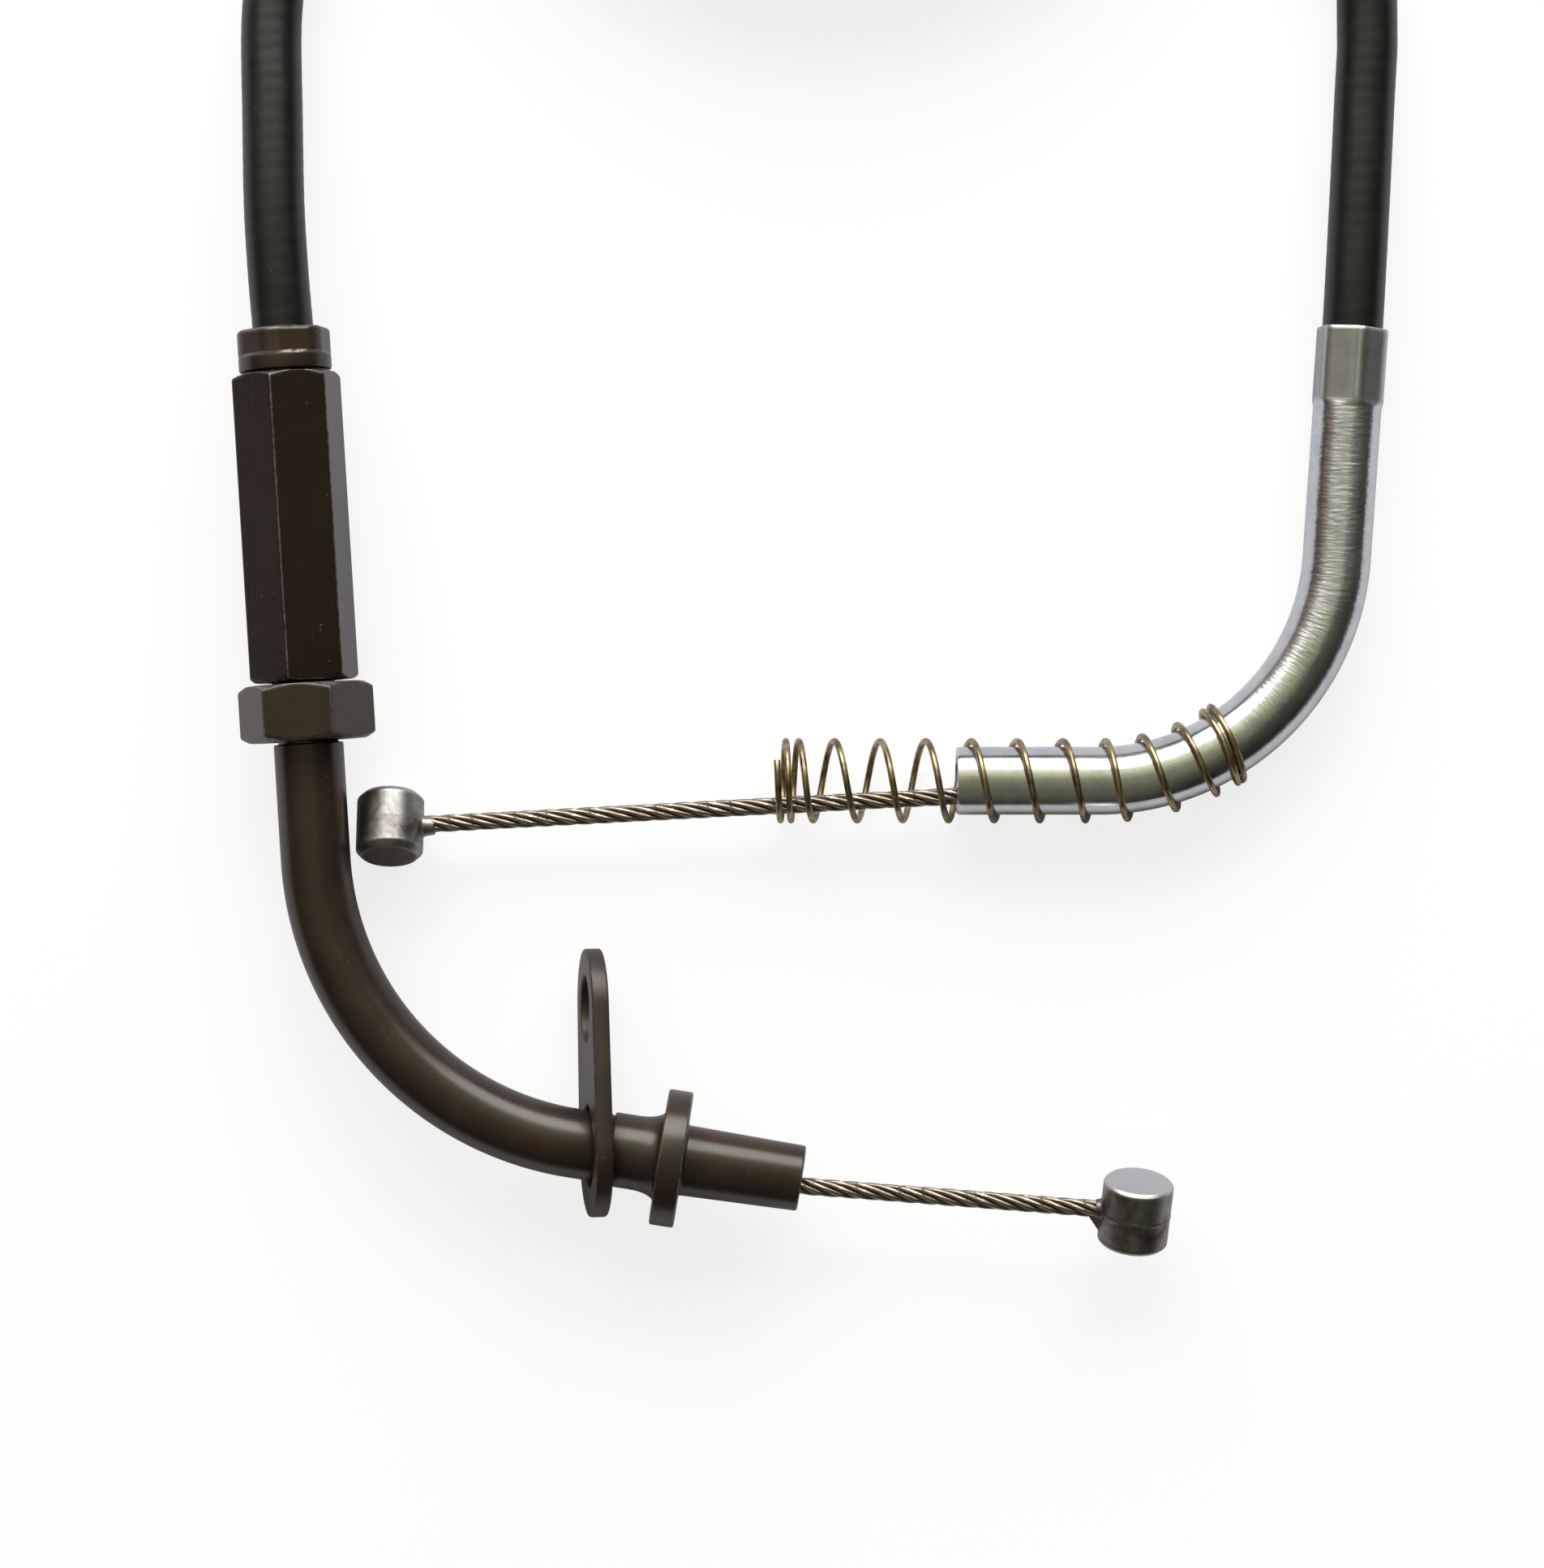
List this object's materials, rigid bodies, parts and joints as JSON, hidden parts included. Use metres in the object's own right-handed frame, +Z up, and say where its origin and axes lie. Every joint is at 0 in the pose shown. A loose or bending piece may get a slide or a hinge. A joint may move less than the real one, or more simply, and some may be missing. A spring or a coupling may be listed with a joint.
{
  "type": "choke cable",
  "caption": "Bowden choke cable with a threaded adjuster elbow, a sprung elbow, a loose clamp plate and barrel nipples on its inner wires.",
  "frame": {"origin": "on the surface that the cable lies on, under the middle of the metal ends and their wires", "axes": "+X along both wires towards the nozzle's nipple, +Y up along the casing towards its coil, +Z up from the surface"},
  "size_m": [0.0999, 0.1829, 0.0123],
  "materials": {
    "sheath": "extruded black plastic cover, slightly ribbed by the wound steel beneath",
    "tie": "plain black plastic band",
    "dark_steel": "blackened steel with pale wear along the edges",
    "bright_steel": "bright zinc plated steel with fine scratches",
    "spring_wire": "yellow plated spring wire",
    "stranded_wire": "stranded steel wire, oiled",
    "cast_zinc": "die-cast zinc, dull with rubbed patches"
  },
  "bodies": {
    "casing": {"casing_run_dark": "sheath", "casing_coil": "sheath", "casing_run_bright": "sheath", "coil_tie_1": "tie", "coil_tie_2": "tie", "casing_ferrule": "dark_steel", "bright_elbow": "bright_steel", "return_spring": "spring_wire", "hidden_wire_bright": "stranded_wire"},
    "sleeve": {"adjuster_sleeve": "dark_steel"},
    "elbow": {"dark_elbow": "dark_steel", "end_fitting": "dark_steel", "hidden_wire_dark": "stranded_wire"},
    "nut": {"lock_nut": "dark_steel"},
    "plate": {"clamp_plate": "dark_steel"},
    "dark_wire": {"wire_dark": "stranded_wire", "nipple_dark": "cast_zinc"},
    "bright_wire": {"wire_bright": "stranded_wire", "nipple_bright": "cast_zinc"}
  },
  "joints": [
    {"name": "adjuster_turn", "type": "hinge", "parent": "casing", "child": "sleeve", "pos_m": [-0.04515, 0.03941, 0.0061], "axis": [-0.0616, 0.9981, 0], "range_deg": [0, 1440]},
    {"name": "elbow_travel", "type": "slide", "parent": "casing", "child": "elbow", "axis": [0.0616, -0.9981, 0], "range_m": [0, 0.004]},
    {"name": "lock_nut_turn", "type": "hinge", "parent": "elbow", "child": "nut", "pos_m": [-0.04515, 0.03941, 0.0061], "axis": [0.0616, -0.9981, 0], "range_deg": [0, 360]},
    {"name": "clamp_plate_turn", "type": "hinge", "parent": "elbow", "child": "plate", "pos_m": [-0.01842, -0.03033, 0.0061], "axis": [0.9882, -0.153, 0], "continuous": true},
    {"name": "inner_wire_pull", "type": "slide", "parent": "elbow", "child": "dark_wire", "axis": [0.9882, -0.153, 0], "range_m": [0, 0.012]},
    {"name": "bright_wire_pull", "type": "slide", "parent": "casing", "child": "bright_wire", "axis": [0.9986, 0.053, 0], "range_m": [0, 0.012]}
  ],
  "couplings": [
    {"joint": "adjuster_turn", "follows": "elbow_travel", "rad_per_m": 6283.2},
    {"joint": "bright_wire_pull", "follows": "inner_wire_pull", "ratio": 1}
  ]
}
